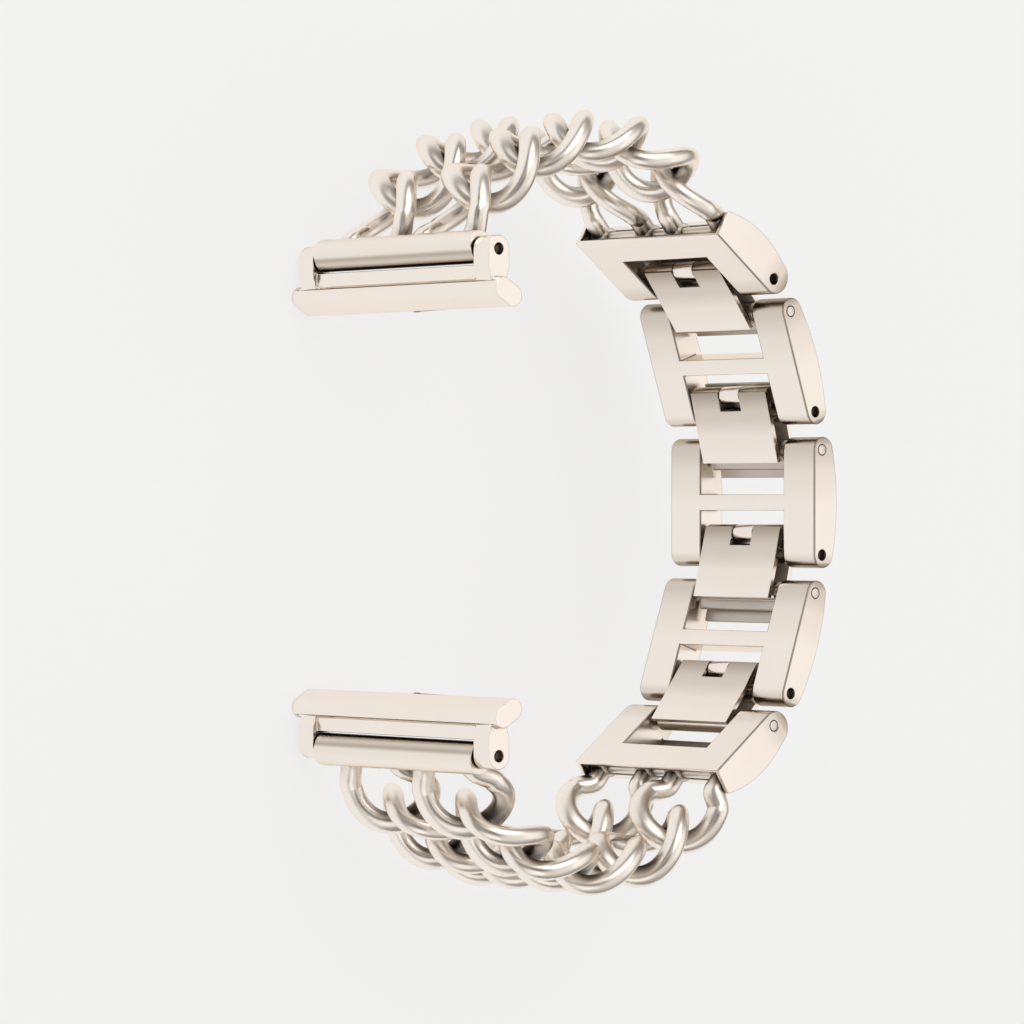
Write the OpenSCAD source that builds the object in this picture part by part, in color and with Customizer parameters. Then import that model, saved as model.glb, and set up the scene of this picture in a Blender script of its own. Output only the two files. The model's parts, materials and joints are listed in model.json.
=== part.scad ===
// Metal chain watch band, closed into the loop it makes round a wrist.
// X runs from the front of the loop to its back, Y towards twelve o'clock, Z along the wrist.
// The loop lies on its side; the origin is the loop's centre on the surface that carries it.
// Millimetres.

/* [Hinge pins] */
// Diameter of every hinge pin and bar pin
pin_d = 1.0; // [0.8:0.05:1.2]
// Radial clearance of a bore that turns on a pin
turn_gap = 0.04; // [0.02:0.01:0.08]
// Radial clearance of a bore that holds a pin still
hold_gap = 0.02; // [0.01:0.01:0.04]
// Depth of the dimple over a pin that stops short of the face
pin_recess = 1.2; // [0.4:0.1:1.2]

/* [Outer links] */
// Width of the outer links and end links along the pins
link_w = 20.4; // [19:0.2:24]
// Width of the gap between the two arms of a link
arm_gap = 11.8; // [10:0.2:13]
// Distance between the two pins of an outer link
outer_pitch = 10.2; // [9:0.1:12]
// Thickness of an outer link at its middle
outer_t = 3.1; // [2.8:0.1:3.6]
// Height of an outer link's pins over its inner face
outer_pin_h = 1.1; // [1:0.05:1.3]
// Radius of the arched outer face
outer_arch = 25; // [18:1:40]
// Length of the cross bar along the band
bar_len = 1.6; // [1:0.1:2.4]
// Thickness of the cross bar
bar_t = 2.2; // [1.4:0.1:2.6]

/* [Folded centre links] */
// Width of a folded centre link
fold_w = 10.6; // [9:0.1:11]
// Distance between the two outer links that it joins
fold_pitch = 3.8; // [3.4:0.1:5]
// Outer diameter of the curl round the lower pin
curl_d = 2.0; // [1.9:0.05:2.2]
// Thickness of the folded sheet
sheet_t = 0.5; // [0.4:0.05:0.6]
// Outer diameter of the lid's own hinge
lid_hinge_d = 1.7; // [1.6:0.05:1.9]
// Diameter of the lid's hinge pin
lid_pin_d = 0.7; // [0.6:0.05:0.8]
// Distance from the upper pin back to the lid's hinge
lid_hinge_back = 2.0; // [1.95:0.05:2.3]
// How far the lid's plate reaches past its hinge
lid_top = 0.45; // [0.2:0.05:0.6]
// How far the lid reaches past the lower pin
lid_over = 0.9; // [0.8:0.1:1.5]
// How far the outer plate reaches past a pin towards a cross bar
plate_over = 2.9; // [2:0.1:3.1]
// How far the rolled lip reaches past the lower pin
lip_over = 1.9; // [1.2:0.1:2.2]
// Width of the tongue in the lid's notch
tongue_w = 2.7; // [2:0.1:3.6]
// Length of the dark slot under the tongue
slot_len = 0.6; // [0.3:0.1:0.9]

/* [End links] */
// Distance from the chain pin to the hinge pin
end_pitch = 6.85; // [6.4:0.05:9]
// Thickness of an end link at its middle
end_t = 3.95; // [3.7:0.05:4.4]
// Radius of the arched outer face of an end link
end_arch = 11.3; // [10:0.1:14]
// Distance from the chain side's edge to the crown of the arch
end_crown = 4.85; // [4.4:0.05:5.4]
// Distance from the chain side's edge to the chain pin
end_lip = 1.5; // [1.4:0.05:1.9]
// Length of the closed bar on the inner face
end_bar = 3.2; // [2.6:0.1:3.6]
// Thickness of the inner plate of an end link
end_plate = 0.7; // [0.5:0.05:0.8]
// Thickness of the outer shell of an end link
end_shell = 0.6; // [0.5:0.05:0.8]
// Distance from the chain pin to the edge of the shell over it
shell_back = 0.3; // [0.2:0.05:0.6]
// Height of the chain pin over the inner face
chain_pin_h = 1.9; // [1.8:0.05:2.1]
// Height of the hinge pin over the inner face
end_hinge_h = 1.35; // [1.25:0.05:1.5]

/* [Chain] */
// Width of the chain wire across the ring
wire_w = 2.1; // [1.8:0.05:2.2]
// Thickness of the flattened chain wire
wire_t = 1.8; // [1.5:0.05:1.9]
// Distance from one chain ring to the next
ring_pitch = 6.5; // [6.2:0.1:8]
// Width of a chain ring over its wire
ring_w = 10.3; // [9:0.1:10.3]
// Play between two rings that hook into each other
ring_play = 0.25; // [0.2:0.05:0.6]
// Twist of a ring from its middle to each end
ring_twist = 45; // [35:1:50]
// Distance between the two rows of chain
row_pitch = 10.6; // [10.5:0.1:11]
// Rings in a row between its two bows
ring_count = 4; // [4:1:4]
// Length of the bow at the lug bar, from its pin to the first ring
lug_bow = 7.4; // [7:0.1:10]
// Length of the bow at the end link, from its pin to the last ring
end_bow = 6.8; // [6.6:0.1:10]
// Distance between the two legs of a bow at the lug bar
lug_spread = 7.2; // [5.6:0.1:7.4]
// Distance between the two legs of a bow at the end link
end_spread = 6.4; // [5.6:0.1:6.6]
// Diameter of the eye on each leg
eye_d = 1.9; // [1.7:0.05:2]

/* [Lug adapters] */
// Gap between the two ears
ear_gap = 23.2; // [23:0.1:26]
// Thickness of an ear along the bar
ear_t = 2.2; // [1.5:0.1:2.6]
// Width of an ear across the bar
ear_w = 2.5; // [2.2:0.1:3]
// Width of an ear's foot on the rail
ear_foot = 2.0; // [1.5:0.1:2.4]
// Height over which an ear draws in to its foot
ear_slope = 0.5; // [0.3:0.1:0.8]
// Diameter of the round sleeve between the ears
sleeve_d = 2.5; // [2.4:0.05:2.8]
// How far the sleeve stands in front of the bar
sleeve_front = 0.2; // [0:0.05:0.3]
// How far the sleeve stands above the bar
sleeve_rise = 0.55; // [0.3:0.05:0.55]
// How far the chain can swing outward in the sleeve's slots
swing_out = 20; // [10:1:30]
// How far the chain can swing inward in the sleeve's slots
swing_in = 42; // [30:1:45]
// End play of the sleeve between the ears
sleeve_play = 0.2; // [0.05:0.01:0.3]
// Length of the rail that slides in the slot
rail_len = 29.6; // [28:0.1:32]
// Width of the rail's oblong section
rail_w = 3.4; // [3:0.1:4]
// Thickness of the rail's oblong section
rail_t = 2.0; // [1.9:0.1:2.4]
// Slant of the rail's section
rail_slant = 30; // [20:1:40]
// Height of the bar over the rail
bar_rise = 3.9; // [3.8:0.1:5]
// Thickness of the neck between rail and ears
neck_t = 1.5; // [1:0.1:2]
// Diameter of the lock pin in the rail
lock_d = 1.2; // [1:0.05:1.3]
// How far the lock pin stands out of the rail
lock_out = 0.6; // [0.5:0.05:0.7]
// Depth of the lock pin's pocket
lock_depth = 2.0; // [1.8:0.1:2.2]

/* [Bend of the loop] */
// Direction of the lug bow from +X
bend_bow_1 = 53; // [45:1:70]
// Direction of the first ring
bend_ring_1 = 34; // [26:1:42]
// Direction of the second ring
bend_ring_2 = 16; // [8:1:24]
// Direction of the third ring
bend_ring_3 = -3; // [-10:1:6]
// Direction of the fourth ring
bend_ring_4 = -25; // [-32:1:-18]
// Direction of the bow at the end link
bend_bow_2 = -49; // [-54:1:-42]
// Direction of the end link
bend_end = -42; // [-50:1:-38]
// Direction of the first folded link
bend_fold_1 = -53; // [-58:1:-48]
// Direction of the first outer link
bend_outer_1 = -71; // [-76:1:-66]
// Direction of the second folded link
bend_fold_2 = -76; // [-86:1:-74]

/* [Hidden] */
$fn = 48;
STEEL = [0.86, 0.82, 0.76];
STEEL_LIGHT = [0.93, 0.90, 0.86];
STEEL_DARK = [0.70, 0.65, 0.58];
eps = 0.01;
see = 0.1; // clearance between plates that pass each other
turn_r = pin_d / 2 + turn_gap;
hold_r = pin_d / 2 + hold_gap;
arm_w = (link_w - arm_gap) / 2;
row_z = row_pitch / 2;
ring_a = (ring_pitch + wire_w + ring_play) / 2; // half length of a ring's wire line
ring_b = (ring_w - wire_w) / 2; // half width of a ring's wire line
hook = ring_a - ring_pitch / 2; // how far a ring's wire line passes the pivot
RINGS = 28; // sections round a chain ring
SIDES = 8; // sides of the wire in the solid
curl_r = curl_d / 2;
lid_hinge_r = lid_hinge_d / 2;

// End radius that lets the arch run smoothly into the round ends about the pins
outer_end = (2 * outer_arch * outer_t - outer_t * outer_t - pow(outer_pitch / 2, 2))
    / (4 * outer_arch - 2 * outer_t);
lid_gap = 0.08; // clearance between the lid and the lower curl
lid_y = -(curl_r + lid_gap + sheet_t); // inner face of the lid
lid_hinge = [-lid_hinge_back, lid_y + lid_hinge_r + 0.05];
shell_top = curl_r + 0.05; // outer face of the folded link
saddle_r = curl_r - 0.07;

// The upper half of the loop from the bar to the middle link: length and direction of each piece
half_len = concat([lug_bow], [for (i = [1:ring_count]) ring_pitch],
    [end_bow, end_pitch, fold_pitch, outer_pitch, fold_pitch]);
half_dir = [bend_bow_1, bend_ring_1, bend_ring_2, bend_ring_3, bend_ring_4, bend_bow_2,
    bend_end, bend_fold_1, bend_outer_1, bend_fold_2];
half = len(half_len);
// The whole loop: the upper half, the middle link, and the upper half mirrored and run backwards
piece_len = concat(half_len, [outer_pitch], [for (i = [1:half]) half_len[half - i]]);
piece_dir = concat(half_dir, [-90], [for (i = [1:half]) -180 - half_dir[half - i]]);
pieces = len(piece_len);
bar_at = [-0.3, bar_rise];

function step(i) = piece_len[i] * [cos(piece_dir[i]), sin(piece_dir[i])];
function pivot(i) = i == 0 ? bar_at : pivot(i - 1) + step(i - 1);
lower_bar = pivot(pieces);
lower_rail = lower_bar - [bar_at[0], -bar_at[1]];
// The whole loop is drawn from the middle of the upper rail, then stood on the rails' ends
front_x = bar_at[0] - sleeve_front - sleeve_d / 2;
back_x = pivot(half)[0] + outer_t - outer_pin_h;
origin = [(front_x + back_x) / 2, lower_rail[1] / 2, -rail_len / 2];

// Places of the pieces in the loop
UPPER_CHAIN = 0;
UPPER_END = ring_count + 2;
FOLD_1 = UPPER_END + 1;
LOWER_END = pieces - UPPER_END - 1;
LOWER_CHAIN = LOWER_END + 1;

module stand() {
    translate(-origin) children();
}

// Puts a piece drawn along +X, with +Y outward, at its place in the loop
module at_piece(i) {
    translate([pivot(i)[0], pivot(i)[1], 0]) rotate([0, 0, piece_dir[i]]) children();
}

// The same for a piece that is drawn running the other way
module at_piece_back(i) {
    at_piece(i) translate([piece_len[i], 0, 0]) rotate([0, 180, 0]) children();
}

// The lower lug parts are the upper ones mirrored
module at_lower_lug() {
    translate([lower_rail[0], lower_rail[1], 0]) mirror([0, 1, 0]) children();
}

// A round rod along Z between two heights
module rod(d, z0, z1) {
    translate([0, 0, z0]) cylinder(d = d, h = z1 - z0);
}

module slab(x0, x1, y0, y1, z0, z1) {
    translate([x0, y0, z0]) cube([x1 - x0, y1 - y0, z1 - z0]);
}

// Chain wire
function unit(v) = v / norm(v);

// A point at x along the row, w to the side, turned by a about the row's axis
function twisted(x, w, a) = [x, w * sin(a), w * cos(a)];

// Twist at x from a ring's middle
function twist_at(x) = ring_twist * max(-1, min(1, x / ring_a));

function ring_point(t) = let (x = ring_a * cos(t)) twisted(x, ring_b * sin(t), twist_at(x));
function ring_side(t) = let (a = twist_at(ring_a * cos(t))) [0, cos(a), -sin(a)];

// A section of the wire: its corners round a point of the wire line
function section(p, along, side) = let (
        t = unit(along),
        b = unit(cross(t, side)),
        n = cross(b, t))
    [for (k = [0:SIDES - 1])
        let (a = 360 * (k + 0.5) / SIDES)
            p + (wire_t * cos(a) * n + wire_w * sin(a) * b) / 2 / cos(180 / SIDES)];

// Two triangles for each side between neighbouring sections
function skin(sections, closed) = let (n = sections)
    [for (i = [0:n - (closed ? 1 : 2)]) for (k = [0:SIDES - 1])
        let (a = i * SIDES + k, b = i * SIDES + (k + 1) % SIDES,
            c = ((i + 1) % n) * SIDES + k, d = ((i + 1) % n) * SIDES + (k + 1) % SIDES)
        each [[a, c, b], [b, c, d]]];

module chain_ring() {
    turns = [for (i = [0:RINGS - 1]) 360 * i / RINGS];
    points = [for (t = turns)
        each section(ring_point(t), ring_point(t + 2) - ring_point(t - 2), ring_side(t))];
    polyhedron(points, skin(RINGS, true), convexity = 6);
}

// A bow is a U of wire: two legs from the pin that swing out into half a ring.
// Its wire line is written for a bow of length l whose legs are w apart at the pin:
// u runs -1..0 up one leg, 0..1 round the end and 1..2 down the other leg.
LEG_STEPS = 6;
BOW_STEPS = 14;
leg_start = 0.62; // the legs end inside the wall of their eyes
leg_straight = max(end_lip + see, sleeve_d / 2 + sleeve_rise); // the legs run straight out of their slots

function ease(u) = u * u * (3 - 2 * u);
function bow_shoulder(l) = l + hook - ring_a; // where the legs run into the half ring
function bow_point(u, l, w) = let (
        from = bow_shoulder(l),
        leg = u < 0 ? -u : u > 1 ? u - 1 : 0,
        x = leg > 0 ? from - (from - leg_start) * leg : from + ring_a * sin(180 * u),
        side = leg > 0 ? (u < 0 ? 1 : -1) * leg_side(x, l, w)
            : ring_b * cos(180 * u))
    twisted(x, side, bow_twist(x, l));
// How far along the bend of its leg a bow is at x
function bow_bend(x, l) = ease(max(0, x - leg_straight) / (bow_shoulder(l) - leg_straight));
function leg_side(x, l, w) = w / 2 + (ring_b - w / 2) * bow_bend(x, l);
// The twist starts where the legs leave their slots and is the same as a ring's at the end
lead = 0.35; // share of the twist that a bow has gained at its shoulder
function bow_twist(x, l) = let (from = bow_shoulder(l))
    x > from ? twist_at(ring_a * lead + (1 - lead) * (x - from))
        : ring_twist * lead * bow_bend(x, l);
function bow_side(u, l, w) = let (a = bow_twist(bow_point(u, l, w)[0], l)) [0, cos(a), -sin(a)];

module bow_wire(l, w) {
    us = concat(
        [for (i = [0:LEG_STEPS - 1]) -1 + i / LEG_STEPS],
        [for (i = [0:BOW_STEPS]) i / BOW_STEPS],
        [for (i = [1:LEG_STEPS]) 1 + i / LEG_STEPS]);
    n = len(us);
    d = 0.02;
    points = [for (u = us)
        each section(bow_point(u, l, w),
            bow_point(min(u + d, 2), l, w) - bow_point(max(u - d, -1), l, w), bow_side(u, l, w))];
    caps = [[for (k = [0:SIDES - 1]) k], [for (k = [SIDES - 1:-1:0]) (n - 1) * SIDES + k]];
    polyhedron(points, concat(skin(n, false), caps), convexity = 6);
}

module chain_bow(l, w) {
    difference() {
        union() {
            bow_wire(l, w);
            for (side = [-1, 1])
                rod(eye_d, side * w / 2 - wire_w / 2, side * w / 2 + wire_w / 2);
        }
        rod(2 * turn_r, -w, w);
    }
}

// Upper chain: piece k of a row, from the lug bar to the end link
module chain_upper(row, k) {
    color(STEEL_LIGHT) translate([0, 0, row * row_z])
        if (k == 1) at_piece(UPPER_CHAIN) chain_bow(lug_bow, lug_spread);
        else if (k == ring_count + 2) at_piece_back(UPPER_CHAIN + k - 1) chain_bow(end_bow, end_spread);
        else at_piece(UPPER_CHAIN + k - 1) translate([ring_pitch / 2, 0, 0]) chain_ring();
}

// Lower chain: piece k of a row, from the end link to the lug bar
module chain_lower(row, k) {
    color(STEEL_LIGHT) translate([0, 0, row * row_z])
        if (k == 1) at_piece(LOWER_CHAIN) chain_bow(end_bow, end_spread);
        else if (k == ring_count + 2) at_piece_back(LOWER_CHAIN + k - 1) chain_bow(lug_bow, lug_spread);
        else at_piece(LOWER_CHAIN + k - 1) translate([ring_pitch / 2, 0, 0]) chain_ring();
}

// Places of the legs of both rows along Z, w apart
function legs(w) = [for (row = [-1, 1]) for (side = [-1, 1]) row * row_z + side * w / 2];

// Lug adapter, drawn with the rail's middle at the origin
module rail_section() {
    rotate(-rail_slant) {
        square([rail_w - rail_t, rail_t], center = true);
        for (side = [-1, 1]) translate([side * (rail_w - rail_t) / 2, 0]) circle(d = rail_t);
    }
}

// An ear: round over the bar, straight below it and drawn in to its foot on the rail
module ear_section() {
    foot = bar_rise - sleeve_d / 2 - 0.6;
    translate([0, bar_rise]) circle(d = ear_w);
    polygon([[-ear_w / 2, bar_rise], [-ear_w / 2, foot], [-ear_foot / 2, foot - ear_slope],
        [-ear_foot / 2, 0], [ear_foot / 2, 0], [ear_foot / 2, foot - ear_slope], [ear_w / 2, foot],
        [ear_w / 2, bar_rise]]);
}

module lug_adapter() {
    ear_z = ear_gap / 2;
    neck_top = bar_rise - sleeve_d / 2 - 0.15;
    color(STEEL) difference() {
        union() {
            translate([0, 0, -rail_len / 2]) linear_extrude(rail_len) rail_section();
            slab(bar_at[0] - neck_t / 2, bar_at[0] + neck_t / 2, 0, neck_top, -ear_z - ear_t, ear_z + ear_t);
            for (side = [-1, 1]) translate([bar_at[0], 0, side * (ear_z + ear_t / 2)]) {
                translate([0, 0, -ear_t / 2]) linear_extrude(ear_t) ear_section();
            }
        }
        translate([bar_at[0], bar_rise, 0]) rod(2 * hold_r, -link_w, link_w);
        rotate([0, 0, -rail_slant]) rotate([0, 90, 0])
            rod(lock_d + 2 * turn_gap, rail_w / 2 - lock_depth, rail_w);
    }
}

// The sleeve hides the bar; the legs' eyes sit in pockets that open towards the chain
module sleeve_section() {
    middle = [-sleeve_front, sleeve_rise];
    rotate(atan2(middle[1], middle[0])) {
        translate([0, -sleeve_d / 2]) square([norm(middle), sleeve_d]);
        for (x = [0, norm(middle)]) translate([x, 0]) circle(d = sleeve_d);
    }
}

// The way of a leg from its furthest outward to its furthest inward swing
module leg_way() {
    wide = wire_t / 2 + see;
    out = bend_bow_1 + swing_out;
    in = bend_bow_1 - swing_in;
    reach = 2 * sleeve_d;
    left = wide * [-sin(out), cos(out)];
    right = -wide * [-sin(in), cos(in)];
    circle(r = max(eye_d / 2, wire_t / 2) + see);
    polygon([left, left + reach * [cos(out), sin(out)],
        2 * reach * [cos(bend_bow_1), sin(bend_bow_1)], right + reach * [cos(in), sin(in)], right]);
}

module sleeve() {
    half = ear_gap / 2 - sleeve_play;
    slot = wire_w + 2 * see;
    color(STEEL_LIGHT) translate([bar_at[0], bar_at[1], 0]) difference() {
        translate([0, 0, -half]) linear_extrude(2 * half) sleeve_section();
        rod(2 * hold_r, -half - 1, half + 1);
        for (z = legs(lug_spread)) translate([0, 0, z - slot / 2]) linear_extrude(slot) leg_way();
    }
}

module bar_pin() {
    half = ear_gap / 2 + ear_t - pin_recess;
    color(STEEL_DARK) translate([bar_at[0], bar_at[1], 0]) rod(pin_d, -half, half);
}

module lock_pin() {
    color(STEEL_DARK) rotate([0, 0, -rail_slant]) rotate([0, 90, 0]) {
        from = rail_w / 2 - lock_depth + lock_out;
        to = rail_w / 2 + lock_out - lock_d / 4;
        rod(lock_d, from, to);
        translate([0, 0, to]) cylinder(d1 = lock_d, d2 = lock_d / 2, h = lock_d / 4);
    }
}

// End link, drawn from the chain pin at the origin to the hinge pin, with +Y outward
end_x0 = -end_lip;
end_base = -chain_pin_h; // level of the inner face under the chain pin
end_drop = chain_pin_h - end_hinge_h; // the hinge pin lies lower than the chain pin
end_tilt = asin(end_drop / end_pitch);

module end_profile(inset, lift) {
    // the arch, cut by the inner face and by the chain side, with a round end about the hinge pin
    reach = end_pitch * cos(end_tilt);
    intersection() {
        translate([end_x0 + end_crown, end_base + end_t - end_arch]) circle(r = end_arch - inset, $fn = 96);
        polygon([[end_x0 + lift, end_base + lift], [reach, end_base + lift],
            [reach, end_base + end_t], [end_x0 - 0.4, end_base + end_t]]);
    }
}

module end_body() {
    reach = end_pitch * cos(end_tilt);
    half = link_w / 2;
    rotate([0, 0, end_tilt]) {
        translate([0, 0, -half]) linear_extrude(link_w) end_profile(0, 0);
        intersection() {
            translate([reach, end_base + end_arch_h(reach) / 2, 0])
                rod(end_arch_h(reach), -half, half);
            slab(reach - eps, reach + end_t, end_base - 1, end_base + end_t, -half, half);
        }
    }
}

cheek_skin = 0.25; // wall left over the ends of the chain pin

// Height of the arch over the inner face at x
function end_arch_h(x) = end_t - end_arch + sqrt(pow(end_arch, 2) - pow(x - end_x0 - end_crown, 2));

module end_link() {
    reach = end_pitch * cos(end_tilt);
    cheek = link_w / 2 - (row_z + end_spread / 2 + wire_w / 2 + see);
    mouth = link_w / 2 - cheek;
    color(STEEL) difference() {
        end_body();
        rotate([0, 0, end_tilt]) {
            // cavity between the inner plate and the shell, open towards the chain
            translate([0, 0, -mouth]) linear_extrude(2 * mouth) intersection() {
                translate([end_x0 + end_crown, end_base + end_t - end_arch])
                    circle(r = end_arch - end_shell, $fn = 96);
                polygon([[end_x0 - 1, end_base + end_plate / 2], [end_x0, end_base + end_plate / 2],
                    [end_x0 + 1, end_base + end_plate], [end_x0 + end_bar - 0.4, end_base + end_plate],
                    [end_x0 + end_bar - 0.4, end_base + end_t], [end_x0 - 1, end_base + end_t]]);
            }
            // window between the arms, open towards the folded link
            translate([0, 0, -arm_gap / 2]) linear_extrude(arm_gap) intersection() {
                translate([end_x0 + end_crown, end_base + end_t - end_arch])
                    circle(r = end_arch - end_shell, $fn = 96);
                translate([end_x0 + end_bar, end_base - 1]) square([reach, end_t + 2]);
            }
            // open end between the arms
            slab(reach - 0.9, reach + end_t, end_base - 1, end_base + end_t + 1, -arm_gap / 2, arm_gap / 2);
            // the shell ends over the chain pin, so that the legs can swing up past its edge
            slab(end_x0 - 1, shell_back, 0, end_t, -mouth, mouth);
        }
        // the chain pin's bore is blind, so that the cheeks stay closed
        rod(2 * hold_r, -link_w / 2 + cheek_skin, link_w / 2 - cheek_skin);
        translate([end_pitch, 0, 0]) rod(2 * hold_r, -link_w, link_w);
    }
}

module chain_pin() {
    color(STEEL_DARK) rod(pin_d, -link_w / 2 + cheek_skin + 0.05, link_w / 2 - cheek_skin - 0.05);
}

module end_pin(recess) {
    color(STEEL_DARK) translate([end_pitch, 0, 0])
        rod(pin_d, -link_w / 2 + recess, link_w / 2 - recess);
}

// Outer link, drawn from pin to pin with +Y outward
module outer_profile() {
    top = [outer_pitch / 2, outer_t - outer_end - outer_arch];
    for (x = [0, outer_pitch]) translate([x, 0]) circle(r = outer_end);
    lean = [0, 0] - top;
    far = top + lean * (outer_arch + 1) / norm(lean);
    intersection() {
        translate(top) circle(r = outer_arch, $fn = 192);
        polygon([[0, -outer_end], [0, 0], far, [outer_pitch - far[0], far[1]], [outer_pitch, 0],
            [outer_pitch, -outer_end]]);
    }
}

module outer_link() {
    color(STEEL) difference() {
        union() {
            for (z = [-link_w / 2, arm_gap / 2]) translate([0, outer_end - outer_pin_h, z])
                linear_extrude(arm_w) outer_profile();
            slab((outer_pitch - bar_len) / 2, (outer_pitch + bar_len) / 2, -outer_pin_h, bar_t - outer_pin_h,
                -arm_gap / 2 - 1, arm_gap / 2 + 1);
        }
        for (x = [0, outer_pitch]) translate([x, 0, 0]) rod(2 * hold_r, -link_w, link_w);
    }
}

// The upper pin ends flush, the lower one lies in a dimple
module outer_pins() {
    color(STEEL_DARK) {
        rod(pin_d, -link_w / 2, link_w / 2);
        translate([outer_pitch, 0, 0]) rod(pin_d, -link_w / 2 + pin_recess, link_w / 2 - pin_recess);
    }
}

// The rolled lip that stands out of the lower curl
module lip_section() {
    square([lip_over - sheet_t / 2, sheet_t]);
    translate([lip_over - sheet_t / 2, sheet_t / 2]) circle(d = sheet_t);
}

// Folded centre link, drawn from its upper pin at the origin to its lower pin, with +Y outward.
// Towards a cross bar its outer plate reaches on; towards an end link it stops at the pin.
module fold_link(above, below) {
    half = fold_w / 2;
    from = above ? -plate_over : -saddle_r;
    to = fold_pitch + (below ? plate_over : 0);
    color(STEEL) difference() {
        union() {
            // curl round the lower pin
            translate([fold_pitch, 0, 0]) rod(curl_d, -half, half);
            if (below) translate([fold_pitch, -0.9 * sheet_t, -half]) linear_extrude(fold_w) lip_section();
            // outer plate and the saddle over the upper pin
            slab(from, to, shell_top - sheet_t, shell_top, -half, half);
            slab(-saddle_r, saddle_r, -0.1, shell_top, -half, half);
            // tongue: the middle knuckle of the lid's hinge
            translate([lid_hinge[0], lid_hinge[1], 0]) rod(lid_hinge_d, -tongue_w / 2, tongue_w / 2);
            slab(lid_hinge[0], -saddle_r + eps, lid_hinge[1] + 0.25, lid_hinge[1] + lid_hinge_r - 0.04,
                -tongue_w / 2, tongue_w / 2);
        }
        rod(2 * turn_r, -half - 1, half + 1);
        translate([fold_pitch, 0, 0]) rod(2 * turn_r, -half - 1, half + 1);
        translate([lid_hinge[0], lid_hinge[1], 0]) rod(lid_pin_d + 2 * turn_gap, -half, half);
    }
}

// The lid carries its own hinge pin and closes the saddle over the upper pin
module fold_lid() {
    half = fold_w / 2;
    notch = tongue_w / 2 + see;
    color(STEEL_LIGHT) {
        difference() {
            union() {
                translate([lid_hinge[0], lid_hinge[1], 0]) rod(lid_hinge_d, -half, half);
                slab(lid_hinge[0] - lid_top, fold_pitch + lid_over, lid_y, lid_y + sheet_t, -half, half);
                slab(-lid_rib / 2, lid_rib / 2, lid_y + sheet_t - eps, -turn_r - 0.02, -half, half);
            }
            slab(lid_hinge[0] - lid_hinge_d, lid_hinge[0] + lid_hinge_r + slot_len, lid_y - 1,
                lid_hinge[1] + lid_hinge_d, -notch, notch);
        }
        translate([lid_hinge[0], lid_hinge[1], 0]) rod(lid_pin_d, -half + 0.3, half - 0.3);
    }
}

lid_rib = 0.8; // width of the rib that closes the saddle

stand() lug_adapter();  // lug_adapter_upper
stand() sleeve();  // sleeve_upper
stand() bar_pin();  // bar_pin_upper
stand() lock_pin();  // lock_pin_upper
for (k = [1:ring_count + 2]) {
    stand() chain_upper(1, k);
    stand() chain_upper(-1, k);
    stand() chain_lower(1, k);
    stand() chain_lower(-1, k);
}
stand() at_piece(UPPER_END) end_link();  // end_link_upper
stand() at_piece(UPPER_END) chain_pin();  // chain_pin_upper
stand() at_piece(UPPER_END) end_pin(pin_recess);  // end_pin_upper
for (k = [1:4]) {
    stand() at_piece(FOLD_1 + 2 * (k - 1)) fold_link(k > 1, k < 4);
    stand() at_piece(FOLD_1 + 2 * (k - 1)) fold_lid();
}
for (k = [1:3]) {
    stand() at_piece(FOLD_1 + 2 * k - 1) outer_link();
    stand() at_piece(FOLD_1 + 2 * k - 1) outer_pins();
}
stand() at_piece_back(LOWER_END) end_link();  // end_link_lower
stand() at_piece_back(LOWER_END) chain_pin();  // chain_pin_lower
stand() at_piece_back(LOWER_END) end_pin(0);  // end_pin_lower
stand() at_lower_lug() lug_adapter();  // lug_adapter_lower
stand() at_lower_lug() sleeve();  // sleeve_lower
stand() at_lower_lug() bar_pin();  // bar_pin_lower
stand() at_lower_lug() lock_pin();  // lock_pin_lower
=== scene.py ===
# %% [markdown]
# # A chain watch band, finished in Blender
# The band is a loop: two rows of chain at twelve and at six o'clock, and a hinged steel
# bracelet at the back. Its hard parts were measured and built first, each at its true place.
# This lesson dresses them: it breaks their edges, bends the chain from smooth wire, and gives
# every surface the warm, pale shine of the real steel.

# %% Load the measured parts
import json
import math

import bpy
from mathutils import Matrix, Vector


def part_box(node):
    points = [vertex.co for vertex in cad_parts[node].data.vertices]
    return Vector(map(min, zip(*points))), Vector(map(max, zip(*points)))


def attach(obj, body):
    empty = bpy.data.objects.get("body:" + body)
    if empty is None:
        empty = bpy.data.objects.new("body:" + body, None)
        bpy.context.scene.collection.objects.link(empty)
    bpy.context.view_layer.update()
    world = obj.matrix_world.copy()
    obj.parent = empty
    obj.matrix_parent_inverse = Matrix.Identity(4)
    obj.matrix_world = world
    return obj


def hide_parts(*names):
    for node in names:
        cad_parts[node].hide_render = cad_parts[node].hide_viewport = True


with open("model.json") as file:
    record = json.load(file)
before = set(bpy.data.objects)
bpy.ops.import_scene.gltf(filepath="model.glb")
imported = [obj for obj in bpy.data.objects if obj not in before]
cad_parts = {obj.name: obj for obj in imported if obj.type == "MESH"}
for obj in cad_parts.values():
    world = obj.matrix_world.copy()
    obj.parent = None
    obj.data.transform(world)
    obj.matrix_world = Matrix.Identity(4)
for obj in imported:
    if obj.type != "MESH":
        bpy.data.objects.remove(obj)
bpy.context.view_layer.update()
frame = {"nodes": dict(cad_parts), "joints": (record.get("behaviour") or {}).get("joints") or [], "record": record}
MM = 0.001  # the sizes below are written in millimetres

# %% [markdown]
# ## Where the joints are
# Every moving piece hangs between two pins or two neighbours, so the joints already say where
# each link starts and ends. Reading places from them is safer than typing coordinates: if a
# size changes in the measured parts, the dressed pieces follow.

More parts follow.
